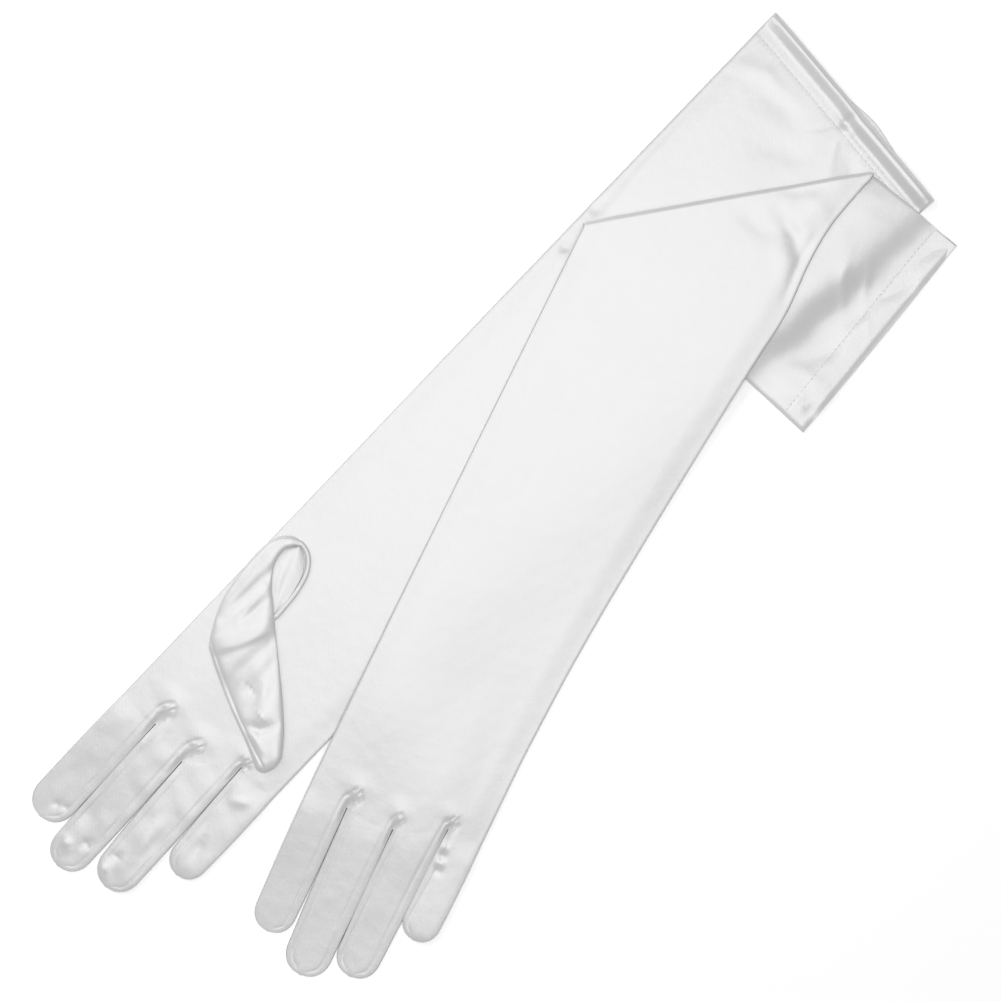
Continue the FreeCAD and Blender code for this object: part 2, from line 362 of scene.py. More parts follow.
def make_mesh(name, points, faces, uvs, material):
    """An object from vertices in mm, faces, and one uv for each vertex."""
    mesh = bpy.data.meshes.new(name)
    mesh.from_pydata((np.asarray(points) * MM).tolist(), [], [list(f) for f in faces])
    mesh.polygons.foreach_set("use_smooth", [True] * len(mesh.polygons))
    layer = mesh.uv_layers.new(name="UVMap")
    corners = np.empty(len(mesh.loops), np.int32)
    mesh.loops.foreach_get("vertex_index", corners)
    layer.data.foreach_set("uv", (np.asarray(uvs, float)[corners] / 100).ravel())
    mesh.materials.append(MATERIALS[material])
    mesh.validate()
    ob = bpy.data.objects.new(name, mesh)
    bpy.context.scene.collection.objects.link(ob)
    return ob


def grid_faces(rows, columns, closed):
    """The quads of a grid, whose last column joins the first if it is closed."""
    r, c = np.meshgrid(np.arange(rows - 1), np.arange(columns if closed else columns - 1), indexing="ij")
    a = r * columns + c
    b = r * columns + (c + 1) % columns
    return np.stack([a, b, b + columns, a + columns], -1).reshape(-1, 4)


def tube(name, points, uvs, material, closed=True, cap_end=False, cap_start=False, normals=None):
    """An object from points[row, column, xyz]."""
    rows, columns = points.shape[:2]
    faces = [tuple(f) for f in grid_faces(rows, columns, closed)]
    verts = points.reshape(-1, 3)
    flat = uvs.reshape(-1, 2)
    extra = []
    if cap_end:
        extra.append((verts[-columns:].mean(0), flat[-columns:].mean(0), (rows - 1) * columns, True))
    if cap_start:
        extra.append((verts[:columns].mean(0), flat[:columns].mean(0), 0, False))
    for middle, uv, first, forward in extra:
        centre = len(verts)
        verts = np.vstack([verts, middle])
        flat = np.vstack([flat, uv])
        for c in range(columns):
            a, b = first + c, first + (c + 1) % columns
            faces.append((a, b, centre) if forward else (b, a, centre))
    if normals is None and closed:
        normals = outward(grid_normals(points), points)
    if normals is not None:
        corner = points[:-1, :-1]
        facing = np.cross(points[:-1, 1:] - corner, points[1:, :-1] - corner)
        if (facing * normals[:-1, :-1]).sum() < 0:
            faces = [face[::-1] for face in faces]
    ob = make_mesh(name, verts, faces, flat, material)
    if normals is not None:
        full = np.zeros((len(verts), 3))
        full[:rows * columns] = normals.reshape(-1, 3)
        ob.data.normals_split_custom_set_from_vertices(full.tolist())
    return ob


def grid_normals(points, before=None, after=None):
    """Normals of a closed tube, with the rows before and after it taken into account."""
    rows = [points]
    if before is not None:
        rows.insert(0, before[None])
    if after is not None:
        rows.append(after[None])
    p = np.concatenate(rows)
    down = np.gradient(p, axis=0)
    if before is not None:
        down = down[1:]
    if after is not None:
        down = down[:-1]
    round_it = np.roll(points, -1, axis=1) - np.roll(points, 1, axis=1)
    n = np.cross(round_it, down)
    length = np.linalg.norm(n, axis=-1, keepdims=True)
    return n / np.maximum(length, 1e-12)


# ---- columns ----

def finger_columns(count):
    """Steps across a finger, closer together near its edges."""
    t = np.linspace(0, 1, count + 1)
    return 0.5 * (t + 0.5 * (1 - np.cos(math.pi * t)))


UPPER = finger_columns(TOP_COLUMNS)
UNDER = finger_columns(UNDER_COLUMNS)


def hand_columns(glove):
    """For each column once round the hand: the share across, and +1 over the top or -1 below."""
    ends = np.array([c[0] for c in glove.crotches]) / glove.crotches[-1][0]
    over = [ends[k] + (ends[k + 1] - ends[k]) * UPPER[:-1] for k in range(4)] + [[1]]
    under = [ends[k] + (ends[k + 1] - ends[k]) * UNDER[:-1] for k in range(4)] + [[1]]
    over = np.concatenate(over)
    under = np.concatenate(under)[1:-1][::-1]
    share = np.concatenate([over, under])
    layer = np.concatenate([np.ones(len(over)), -np.ones(len(under))])
    return share, layer


def finger_slice(k):
    """The columns of the hand that finger k takes over, once round the finger."""
    over = list(range(k * TOP_COLUMNS, (k + 1) * TOP_COLUMNS + 1))
    total_over = 4 * TOP_COLUMNS + 1
    # below, the columns run back from the side seam to the folded edge
    last = total_over + 4 * UNDER_COLUMNS - 1
    under = [last - j for j in range(k * UNDER_COLUMNS + 1, (k + 1) * UNDER_COLUMNS)]
    return over + under[::-1]


# ---- hand, sleeve and fingers ----

def layered(low, high, base, profile, layer, edge_share=0.27):
    """z of the upper or lower layer, which meet at the edges."""
    edge = low + edge_share * (high - low)
    upper = edge + (high - edge) * profile
    lower = edge - (edge - low) * profile
    return base + np.where(layer > 0, upper, lower)


def hand_points(glove, share, back):
    """Rows of the hand and sleeve from the crotches to `back`(share), with their flat u and v."""
    front = np.array(glove.crotches)
    front_u = np.interp(share, front[:, 0] / front[-1, 0], front[:, 0])
    front_v = np.interp(share, front[:, 0] / front[-1, 0], front[:, 1])
    back_v = back(share)
    rows = int((back_v.mean() - front_v.mean()) / ROW_STEP)
    t = np.linspace(0, 1, rows + 1)[:, None]
    v = front_v + (back_v - front_v) * t
    u = np.where(t == 0, front_u, u_at(glove, share, v))
    ease = smooth(t * rows * ROW_STEP / 10)
    u = front_u * (1 - ease) + u * ease
    return u, v


def hand_z(glove, u, v, layer, base, relief):
    """z of the hand and sleeve: the upper layer carries the relief."""
    profile = edge_profile(glove, u, v) * (1 - gap_valley(glove, u, v))
    z = layered(0, HAND_HEIGHT, base, profile, layer)
    return z + np.where(layer > 0, relief(u, v) * np.minimum(profile * 1.5, 1), 0)


FINGER_HEIGHT = 2.7          # at the knuckle
# how much thinner each finger is at its tip
FINGER_FALL = {"right": (1.7, 1.2, 0, 0.1), "left": (1.7, 1.7, 1.6, -0.2)}


def finger_edges(glove, k):
    """The two sides of a finger, root to tip, and how round each row is."""
    name = FINGER_NAMES[k]
    (tu, tv), width = glove.fingers[name]
    root_a = np.array(glove.crotches[k])
    root_b = np.array(glove.crotches[k + 1])
    tip = np.array([tu, tv])
    root = (root_a + root_b) / 2
    way = tip - root
    way /= np.linalg.norm(way)
    side = np.array([-way[1], way[0]])
    if np.dot(side, root_b - root_a) < 0:
        side = -side
    radius = width / 2
    long_half = radius * 1.04
    centre = tip - way * long_half
    length = np.linalg.norm(centre - root)
    rows = max(12, int(length / 1.1))
    t = np.linspace(0, 1, rows + 1)[:, None]
    swell = 0.35 * np.sin(math.pi * t)
    a = root_a + (centre - side * radius - root_a) * t - side * swell
    b = root_b + (centre + side * radius - root_b) * t + side * swell
    angle = np.linspace(0, math.pi / 2, 19)[1:-1, None]
    squareness = 0.86
    across = radius * np.cos(angle) ** squareness
    cap_a = centre + way * long_half * np.sin(angle) - side * across
    cap_b = centre + way * long_half * np.sin(angle) + side * across
    roundness = np.concatenate([np.ones(rows + 1), np.cos(angle[:, 0]) ** 0.62])
    return np.vstack([a, cap_a]), np.vstack([b, cap_b]), roundness, length


def finger_points(glove, k, share_in, layer, base, relief, root_row):
    """Rows of one finger, the first of them shared with the hand."""
    a, b, roundness, length = finger_edges(glove, k)
    u = a[:, None, 0] + (b - a)[:, None, 0] * share_in
    v = a[:, None, 1] + (b - a)[:, None, 1] * share_in
    u[0], v[0] = root_row
    x = 2 * share_in - 1
    flat_top = np.sqrt(np.clip(1 - np.abs(x) ** 13, 0, 1))
    profile = (0.66 * flat_top + 0.34 * (1 - x ** 2)) * roundness[:, None]
    from_root = np.hypot(u - u[0], v - v[0])
    height = FINGER_HEIGHT - FINGER_FALL[glove.side][k] * from_root / length
    z = layered(0, height, base(u, v), profile, layer, 0.55)
    z = z + np.where(layer > 0, relief(u, v) * np.minimum(profile * 1.4, 1), 0)
    mix = smooth(from_root / 14)
    z = hand_z(glove, u, v, layer, base(u, v), relief) * (1 - mix) + z * mix
    return u, v, z


def to_points(glove, u, v, z):
    """Row frame points, in mm."""
    x, y = glove.row(u, v)
    return np.stack([x, y, z], -1)


def build_glove(glove, back, base, relief, finger_relief):
    """Points, flat places and outward normals of the hand and sleeve, and its four fingers."""
    share, layer = hand_columns(glove)
    u, v = hand_points(glove, share, back)
    z = hand_z(glove, u, v, layer, base(u, v), relief)
    hand = to_points(glove, u, v, z)
    flat = np.stack([u, v], -1)
    before = 2 * hand[0] - hand[1]
    fingers = []
    for k in range(4):
        columns = finger_slice(k)
        inner = share[columns]
        lo, hi = inner.min(), inner.max()
        share_in = (inner - lo) / (hi - lo)
        side = layer[columns]
        root_row = (u[0][columns], v[0][columns])
        fu, fv, fz = finger_points(glove, k, share_in, side, base, finger_relief, root_row)
        points = to_points(glove, fu, fv, fz)
        points[0] = hand[0][columns]
        before[columns] = points[1]
        fingers.append((points, np.stack([fu, fv], -1), columns))
    normals = outward(grid_normals(hand, before=before), hand)
    return hand, flat, normals, fingers


# ---- materials ----

def node(tree, kind, **values):
    """A shader node with its inputs, or else its properties, set by name."""
    made = tree.nodes.new(kind)
    for key, value in values.items():
        if key in made.inputs:
            made.inputs[key].default_value = value
        else:
            setattr(made, key, value)
    return made


def new_material(name, **values):
    """A material, its node tree, its Principled shader with the inputs given, and the tree's linker."""
    material = bpy.data.materials.new(name)
    material.use_nodes = True
    tree = material.node_tree
    shader = tree.nodes["Principled BSDF"]
    for key, value in values.items():
        shader.inputs[key.replace("_", " ")].default_value = value
    return material, tree, shader, tree.links.new


METALLIC = 0.22             # satin's threads mirror more sharply than plain cloth
WEAVE_SCALE = 60.0


def satin(name, white, roughness, sheen, weave_strength, crinkle, tone):
    """White satin: fine diagonal float threads, a slight slub, soft crinkles and cloudy tone."""
    material, tree, shader, link = new_material(
        name, Metallic=METALLIC, IOR=1.5, Specular_IOR_Level=0.6, Sheen_Weight=sheen, Sheen_Roughness=0.4,
        Anisotropic=0.45, Anisotropic_Rotation=0)
    uv = node(tree, "ShaderNodeUVMap", uv_map="UVMap")
    tangent = node(tree, "ShaderNodeTangent", direction_type="UV_MAP", uv_map="UVMap")
    link(tangent.outputs[0], shader.inputs["Tangent"])

    # tone: clouds a few cm across, and a fine grain
    clouds = node(tree, "ShaderNodeTexNoise", Scale=3.2, Detail=3, Roughness=0.55)
    grain = node(tree, "ShaderNodeTexNoise", Scale=95, Detail=3, Roughness=0.7)
    mixed = node(tree, "ShaderNodeMath", operation="MULTIPLY_ADD")
    mixed.inputs[1].default_value = 0.45
    link(grain.outputs[0], mixed.inputs[0])
    link(clouds.outputs[0], mixed.inputs[2])
    ramp = node(tree, "ShaderNodeValToRGB")
    dark, light = ramp.color_ramp.elements
    dark.position = 0.35
    dark.color = (*[white * (1 - tone)] * 3, 1)
    light.position = 1.05
    light.color = (*[white] * 3, 1)
    link(mixed.outputs[0], ramp.inputs[0])
    link(ramp.outputs[0], shader.inputs["Base Color"])

    # the gloss varies a little with the same clouds
    gloss = node(tree, "ShaderNodeMapRange")
    gloss.inputs["To Min"].default_value = roughness - 0.035
    gloss.inputs["To Max"].default_value = roughness + 0.035
    link(clouds.outputs[0], gloss.inputs["Value"])
    link(gloss.outputs[0], shader.inputs["Roughness"])

    # weave: fine threads across and along, under soft crinkles
    wave = "ShaderNodeTexWave"
    across = node(tree, wave, bands_direction="DIAGONAL", Scale=WEAVE_SCALE, Distortion=0.7, Detail=1)
    along = node(tree, wave, bands_direction="X", Scale=WEAVE_SCALE * 1.6, Distortion=0.4, Detail=1)
    soft = node(tree, "ShaderNodeTexNoise", Scale=16, Detail=7, Roughness=0.66)
    for texture in (clouds, grain, across, along, soft):
        link(uv.outputs[0], texture.inputs["Vector"])
    threads = node(tree, "ShaderNodeMath", operation="MULTIPLY")
    link(across.outputs["Fac"], threads.inputs[0])
    link(along.outputs["Fac"], threads.inputs[1])
    weave = node(tree, "ShaderNodeBump", Strength=weave_strength, Distance=0.0001)
    link(threads.outputs[0], weave.inputs["Height"])
    bump = node(tree, "ShaderNodeBump", Strength=crinkle, Distance=0.0006)
    link(soft.outputs[0], bump.inputs["Height"])
    link(weave.outputs[0], bump.inputs["Normal"])
    link(bump.outputs[0], shader.inputs["Normal"])
    return material


def thread_material():
    """Polyester thread: two strands twisted together."""
    material, tree, shader, link = new_material("thread", Roughness=0.5, Sheen_Weight=0.3)
    uv = node(tree, "ShaderNodeUVMap", uv_map="UVMap")
    twist = node(tree, "ShaderNodeTexWave", bands_direction="DIAGONAL", Scale=220, Distortion=0.5)
    link(uv.outputs[0], twist.inputs["Vector"])
    # the colour is darker where the twist dips, in the grooves between the strands: painted shade that
    # follows the same bands as the bump
    ramp = node(tree, "ShaderNodeValToRGB")
    ramp.color_ramp.elements[0].color = (0.74, 0.74, 0.74, 1)
    ramp.color_ramp.elements[1].color = (0.86, 0.86, 0.86, 1)
    link(twist.outputs["Fac"], ramp.inputs[0])
    link(ramp.outputs[0], shader.inputs["Base Color"])
    bump = node(tree, "ShaderNodeBump", Strength=0.6, Distance=0.0001)
    link(twist.outputs["Fac"], bump.inputs["Height"])
    link(bump.outputs[0], shader.inputs["Normal"])
    return material


# name: (white, roughness, sheen, weave strength, crinkle, tone)
for satin_name, satin_look in {
    "glove_satin": (0.74, 0.36, 0.25, 0.22, 0.20, 0.05),
    "fourchette_satin": (0.73, 0.38, 0.25, 0.4, 0.26, 0.05),
    "seam_satin": (0.735, 0.38, 0.25, 0.4, 0.3, 0.06),
    "hem_satin": (0.74, 0.34, 0.2, 0.3, 0.24, 0.05),
}.items():
    MATERIALS[satin_name] = satin(satin_name, *satin_look)
MATERIALS["thread"] = thread_material()


# ---- pieces cut from a tube ----

def strip(name, points, flat, normals, columns, material, nodes=()):
    """An open piece of a tube: all its rows, and the columns in the order given."""
    p = points[:, columns]
    n = normals[:, columns]
    ob = tube(f"{name}_cloth", p, flat[:, columns], material, closed=False, normals=n)
    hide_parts(*nodes)
    return ob


def ring_range(first, last, total):
    """Columns from first to last, going round past the end where last is smaller."""
    if last < first:
        last += total
    return [c % total for c in range(first, last + 1)]


def cut_tube(prefix, points, flat, normals, parts):
    """Cuts a tube lengthwise: parts are (name, first column, last column, material, nodes)."""
    total = points.shape[1]
    made = []
    for name, first, last, material, nodes in parts:
        columns = ring_range(first, last, total)
        made.append(strip(f"{prefix}_{name}", points, flat, normals, columns, material, nodes))
    return made


def outward(normals, points):
    """Turns the normals so that they point out of the tube."""
    middle = points.mean(axis=1, keepdims=True)
    out = ((points - middle) * normals).sum(-1).mean()
    return normals if out > 0 else -normals


KNUCKLE_BEND = 15.0         # mm along each finger from its knuckle to the end of a bend line that is worked out but not used
EDGE_COLUMNS = 3            # columns each side of a glove's edge that belong to its edge piece
OVER = 4 * TOP_COLUMNS      # the column on the side seam
AROUND = 4 * TOP_COLUMNS + 1 + 4 * UNDER_COLUMNS - 1
TOP_STRIP = 6               # a finger's side strip takes so many columns above
UNDER_STRIP = 2             # and so many below


def hand_parts(side, over, under, prefix=""):
    """How the hand's tube is cut: over is the panel on top, under the one below."""
    cuts = [
        (f"{prefix}{over}_panel", EDGE_COLUMNS, OVER - EDGE_COLUMNS, "glove_satin"),
        (f"{prefix}side_seam", OVER - EDGE_COLUMNS, OVER + EDGE_COLUMNS, "seam_satin"),
        (f"{prefix}{under}_panel", OVER + EDGE_COLUMNS, AROUND - EDGE_COLUMNS, "glove_satin"),
        (f"{prefix}folded_edge", AROUND - EDGE_COLUMNS, EDGE_COLUMNS, "glove_satin"),
    ]
    return [(*cut, [f"{side}_{cut[0]}"]) for cut in cuts]


def finger_pieces(glove, over, under, fingers, hand_row):
    """Cuts every finger into its stalls and side strips."""
    for k, (points, flat, columns) in enumerate(fingers):
        name = FINGER_NAMES[k]
        side = glove.side
        before = hand_row[columns]
        # round the very tip
        tip = points[-1].mean(0, keepdims=True)
        way = points[-1].mean(0) - points[-2].mean(0)
        way[2] = 0
        way /= np.linalg.norm(way)
        ends = []
        for share, forward in ((0.62, 0.22), (0.25, 0.34), (0.02, 0.38)):
            ends.append(tip[0] + (points[-1] - tip[0]) * share + way * forward)
        points = np.concatenate([points, np.stack(ends)])
        flat = np.concatenate([flat, np.repeat(flat[-1:], 3, 0)])
        normals = outward(grid_normals(points, before=before), points)
        total = points.shape[1]
        n = TOP_COLUMNS
        inner = "fold_wall" if k == 0 else "inner_fourchette"
        outer = "side_seam" if k == 3 else "outer_fourchette"
        material_in = "glove_satin" if k == 0 else "fourchette_satin"
        material_out = "seam_satin" if k == 3 else "fourchette_satin"
        cuts = [
            (f"{name}_{over}", TOP_STRIP, n - TOP_STRIP, "glove_satin"),
            (f"{name}_{outer}", n - TOP_STRIP, n + UNDER_STRIP, material_out),
            (f"{name}_{under}", n + UNDER_STRIP, total - UNDER_STRIP, "glove_satin"),
            (f"{name}_{inner}", total - UNDER_STRIP, TOP_STRIP, material_in),
        ]
        parts = [(*cut, [f"{side}_{cut[0]}"]) for cut in cuts]
        made = cut_tube(side, points, flat, normals, parts)
        root_a = np.array(glove.crotches[k])
        root_b = np.array(glove.crotches[k + 1])
        line = root_b - root_a
        toward = np.array([line[1], -line[0]]) / np.linalg.norm(line)
        start = (root_a + root_b) / 2 + toward * 0.3
        end = start + toward * KNUCKLE_BEND
        for ob in made:
            sx, sy = glove.row(*start)
            ex, ey = glove.row(*end)
            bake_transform(ob)


HEM_DEPTH = 15.0


def cuff_v(glove, share):
    """v of the cuff's edge."""
    (_, va), (_, vb) = glove.cuff
    return va + (vb - va) * share


# ---- hem ----

HEM_ROWS = 15               # rows of cloth on the hem's outer face


def hem_profile():
    """Rows of the hem: distance inside the cuff's edge, and depth under the outer face."""
    rows = [(d, 0) for d in np.linspace(HEM_DEPTH, 0.6, HEM_ROWS)]
    for angle in np.linspace(0, math.pi, 7):
        rows.append((0.4 - CLOTH * math.sin(angle), CLOTH * (1 - math.cos(angle))))
    rows += [(d, 2 * CLOTH) for d in np.linspace(0.9, HEM_DEPTH - 1, 9)]
    return np.array(rows).T[..., None]


def u_at(glove, share, v):
    """u at a share of the way from the folded edge to the side seam."""
    return glove.folded(v) + (glove.seam(v) - glove.folded(v)) * share


def hem_piece(glove, share, layer, z_of, place, gape, body):
    """The turned hem: down the outside, round the edge and back up the inside."""
    outer, depth = hem_profile()
    reach = np.where(layer < 0, gape(share), 0) * (1 - outer / HEM_DEPTH)
    v = cuff_v(glove, share) + reach - outer
    u = u_at(glove, share, v)
    before_v = v[:1] - ROW_STEP
    before_u = u_at(glove, share, before_v)
    before = place(before_u, before_v, z_of(before_u, before_v))[0]
    outside = place(u, v, z_of(u, v))
    # the depth is taken along the normal of the outside
    first = outside[:HEM_ROWS]
    head = outward(grid_normals(first), first)
    points = outside - head[-1] * depth[..., None]
    points[..., 2] = np.maximum(points[..., 2], FLOOR)
    normals = grid_normals(points, before=before)
    if (normals[5] * head[5]).sum() < 0:
        normals = -normals
    ob = tube(f"{glove.side}_hem_cloth", points, np.stack([u, v], -1), "hem_satin", normals=normals)
    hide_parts(f"{glove.side}_hem_palm", f"{glove.side}_hem_back")
    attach(ob, body)


STITCH_PITCH = 2.9
STITCH_LENGTH = 2.1
STITCHED = (0.015, 0.985)   # share of the cuff's width that the row of stitches covers
# along a stitch: place as a share of its length, and thickness
STITCH_STATIONS = ((-0.5, 0.15), (-0.36, 0.85), (0, 1), (0.36, 0.85), (0.5, 0.15))


def stitches(glove, z_of, place, body):
    """The row of separate stitches that holds the hem."""
    (ua, va), (ub, vb) = glove.cuff
    width = math.hypot(ub - ua, vb - va)
    verts, faces, flat = [], [], []
    ring = [(math.cos(a), math.sin(a)) for a in np.linspace(0, 2 * math.pi, 7)[:-1]]
    n = len(ring)
    last = len(STITCH_STATIONS) - 1
    for k in range(int(width * (STITCHED[1] - STITCHED[0]) / STITCH_PITCH)):
        middle = STITCHED[0] + (k + 0.5) * STITCH_PITCH / width
        base = len(verts)
        for along, thick in STITCH_STATIONS:
            share = middle + along * STITCH_LENGTH / width
            v = cuff_v(glove, share) - (HEM_DEPTH - 0.2)
            u = u_at(glove, share, v)
            for sideways, up in ring:
                spot = np.array([u]), np.array([v + sideways * 0.2 * thick])
                z = z_of(*spot)[0] + (0.02 + up * 0.13 * thick)
                verts.append(place(*spot, np.array([z]))[0])
                flat.append((u, spot[1][0]))
        for i in range(last):
            for j in range(n):
                a = base + i * n + j
                b = base + i * n + (j + 1) % n
                faces.append((a, b, b + n, a + n))
        faces.append(tuple(base + j for j in reversed(range(n))))
        faces.append(tuple(base + last * n + j for j in range(n)))
    ob = make_mesh(f"{glove.side}_hem_stitching_threads", verts, faces, flat, "thread")
    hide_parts(f"{glove.side}_hem_stitching")
    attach(ob, body)


def hem_relief(glove, u, v):
    """The hem: a groove and crinkles along its stitches."""
    (ua, va), (ub, vb) = glove.cuff
    share = (u - ua) / (ub - ua)
    d = va + (vb - va) * share - v
    along = share * math.hypot(ub - ua, vb - va)
    crinkle = np.cos(along * 2 * math.pi / 3.3 + 2 * np.sin(along / 9)) * (0.6 + 0.4 * np.sin(along / 6.3))
    z = -0.08 * bell(d - HEM_DEPTH, 0.9)
    z = z + 0.11 * crinkle * bell(d - HEM_DEPTH, 3.4)
    return z, d, along


# ---- the right glove ----

def right_relief(u, v):
    """Relief of the right palm and sleeve."""
    z = hand_relief(RIGHT, u, v)
    hem, d, along = hem_relief(RIGHT, u, v)
    z = z + hem
    # the cuff's edge stands up as a roll, further in past the pucker
    past = smooth((along - 58) / 16)
    foot = 9.3 + 1.7 * past
    rise = 0.5 * smooth((foot - d) / 6.4) + 0.5 * np.clip((foot - d) / 6.4, 0, 1)
    z = z + (2.8 + 0.3 * past) * rise - (1.8 + 0.3 * past) * smooth((2.8 - d) / 2.8)
    z = z - 0.5 * past * bell(d - 9, 2.2)
    # the pucker half way along the hem, and the creases that run out of it
    z = z - 0.9 * bell(along - 68, 2) * bell(d - 8.5, 4.5)
    z = z + 0.5 * bell(along - 73, 2.6) * bell(d - 11, 4)
    return add_creases(z, u, v, 0.35, [
        ([(68, 573), (62, 562), (55, 554)], 1.6, -0.22),
        ([(69, 573), (72, 562), (80, 548)], 1.8, 0.22),
        ([(10, 448), (6.9, 478.9), (6, 521.3)], 2.2, 0.24),
        ([(42, 532), (55, 540), (68, 546)], 7, -0.5),
        ([(20, 552), (38, 556), (56, 552)], 6, -0.4),
        ([(2, 553), (20, 562), (42, 561)], 4.5, 0.35),
        ([(76, 552), (88, 540), (100, 532)], 4.5, 0.4),
        ([(84, 560), (98, 548), (110, 540)], 4, -0.45),
        ([(3.5, 452), (3.5, 444)], 3.6, -0.9),
        ([(3, 424), (9, 421)], 3.4, -0.8),
        ([(10, 418), (18, 432)], 3, 0.5),
    ])


def right_gape(share):
    """How much further the lower layer of the cuff reaches past its pucker."""
    return 2.8 * bell(share * 131.0 - 80, 15)


def left_gape(share):
    """How much further the lower layer of the left cuff reaches."""
    return 0.7 * np.sin(share * math.pi)


def knuckle_lift(v):
    """The knuckles stand a little off the ground, so that the fingers slope to their tips."""
    return smooth((v - 12) / 75) * (1 - smooth((v - 105) / 130))


def right_base(u, v):
    """Bottom of the right glove, which lies on the floor."""
    return FLOOR + 1.4 * (1 - smooth((u - 20) / 40)) * knuckle_lift(v)


def right_finger_relief(u, v):
    """Relief of the right fingers."""
    z = right_relief(u, v) + 0.12 * ripples(u, v, 17, 21)
    # dimples and ridges pressed into the fingers
    return add_creases(z, u, v, 0.5, [
        ([(41.2, 18.6), (40.4, 16.2)], 2.6, -1),
        ([(30.5, 12), (34.5, 9)], 2.8, 0.9),
        ([(31, 26), (30, 40)], 3.2, -0.5),
        ([(15.2, 22.6), (14.2, 21)], 1.8, -0.6),
        ([(19.6, 24.4), (18.8, 23)], 1.7, -0.6),
        ([(9, 30), (8, 50)], 4, -0.45),
        ([(57.1, 24.8), (57.1, 22.6)], 2.4, -0.7),
        ([(54.8, 17.4), (58, 12)], 2.6, 0.9),
        ([(64, 28), (60, 50)], 3.2, 0.5),
        ([(69, 34), (66, 60)], 3.4, -0.5),
        ([(86, 54), (84, 62)], 2.6, -0.5),
        ([(82, 88), (88, 93)], 2.6, 0.5),
    ])


def right_top(u, v, layer=1):
    """z of the right glove's upper layer, or of the layer given."""
    layer = np.broadcast_to(layer, np.broadcast(u, v).shape)
    return hand_z(RIGHT, u, v, layer, right_base(u, v), right_relief)


def right_place(u, v, z):
    """Row frame points of the right glove."""
    return to_points(RIGHT, u, v, z)


def make_right():
    share, layer = hand_columns(RIGHT)
    hand, flat, normals, fingers = build_glove(
        RIGHT, lambda s: cuff_v(RIGHT, s) - HEM_DEPTH, right_base, right_relief, right_finger_relief)
    for ob in cut_tube("right", hand, flat, normals, hand_parts("right", "palm", "back")):
        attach(ob, "right_glove")
    finger_pieces(RIGHT, "front", "back", fingers, hand[1])
    hem_piece(RIGHT, share, layer, lambda u, v: right_top(u, v, layer), right_place, right_gape,
              "right_glove")
    stitches(RIGHT, right_top, right_place, "right_glove")


# ---- thumbs ----

THUMB_COLUMNS = 40
RIGHT_THUMB_HEIGHT = 3.6
ALLOWANCE = [(14, 139), (22, 135), (44, 124), (66, 115), (79, 110.5)]
# the two sides of the flat thumb, from its root to where its rounded tip begins
THUMB_LEFT = [
    (13.2, 213), (6.4, 210.6), (1, 203), (-0.3, 192), (0.8, 176), (5, 158), (13.6, 141.5), (20, 135.8),
    (44, 123.8), (66, 114.6), (76, 110),
]
THUMB_RIGHT = [
    (14.6, 210.6), (11.2, 207.6), (9.2, 201.5), (11.6, 192.5), (18.8, 183.5), (26, 177.2), (31.5, 172),
    (40, 164.6), (59, 148.4), (74.5, 134), (82.5, 124.5),
]
THUMB_ROWS = 110


def thumb_grid(base, height):
    """Rows of the thumb from its root to its tip, resting at base(u, v)."""
    left = spline(THUMB_LEFT, THUMB_ROWS)
    right = spline(THUMB_RIGHT, THUMB_ROWS)
    way = np.array([0.72, -0.69])
    radius = 7.0
    caps = np.linspace(0, 1, 14)[1:] * math.pi / 2 * 0.985
    centre = (left[-1] + right[-1]) / 2
    half = (right[-1] - left[-1]) / 2
    cap_left = [centre - half * math.cos(a) + way * radius * math.sin(a) for a in caps]
    cap_right = [centre + half * math.cos(a) + way * radius * math.sin(a) for a in caps]
    left = np.vstack([left, cap_left])
    right = np.vstack([right, cap_right])
    rounding = np.concatenate([np.ones(THUMB_ROWS), np.cos(caps) ** 0.6])
    over = 0.5 * (1 - np.cos(np.linspace(0, math.pi, THUMB_COLUMNS + 1)))
    under = over[1:-1:3][::-1]
    share = np.concatenate([over, under])
    layer = np.concatenate([np.ones(len(over)), -np.ones(len(under))])
    u = left[:, None, 0] + (right - left)[:, None, 0] * share
    v = left[:, None, 1] + (right - left)[:, None, 1] * share
    x = 2 * share - 1
    width = np.hypot(*(right - left).T)
    thick = np.minimum(height, 0.55 * width)[:, None] * rounding[:, None] ** 0.5
    profile = np.sqrt(np.clip(1 - np.abs(x) ** 3.2, 0, 1)) * rounding[:, None]
    z = layered(0, 1, 0, profile, layer) * thick + base(u, v)
    return u, v, z, layer, profile


def thumb_relief(u, v):
    """Folds of the thumb: a sharp turn half way down, and soft dents along it."""
    z = np.zeros(np.broadcast(u, v).shape)
    z = add_creases(z, u, v, 0.5, [
        ([(11.8, 190), (11.4, 172), (11, 155)], 3.3, -1.7),
        ([(20.1, 177), (20.2, 162)], 2.4, -0.9),
        ([(15.6, 182), (15.6, 166)], 2, 0.4),
        ([(22, 137.5), (29, 148.5), (34.5, 165)], 1.1, -0.3),
        ([(41.6, 138), (42.7, 158)], 3, 0.7),
        ([(46.9, 138.4), (46.9, 136)], 4.2, -0.9),
        ([(52, 144), (56, 136)], 2.8, 0.6),
        ([(61.4, 132.4), (61.4, 130)], 3.4, 0.9),
        ([(58.9, 121.5), (66, 125.6), (70, 133)], 2.4, -0.9),
        ([(62.7, 121.4), (74.9, 117.7)], 2.2, 0.6),
    ])
    fold, _ = distance_to([(17.5, 141.5), (24.5, 154), (31.5, 168)], u, v)
    z = z + 0.7 * np.exp(-(fold / 5.4) ** 4)
    z = z - 1.4 * smooth((u - 29.5) / 9) * (1 - smooth((u - 42) / 22))
    return z + 0.10 * ripples(u, v, 11, 33)


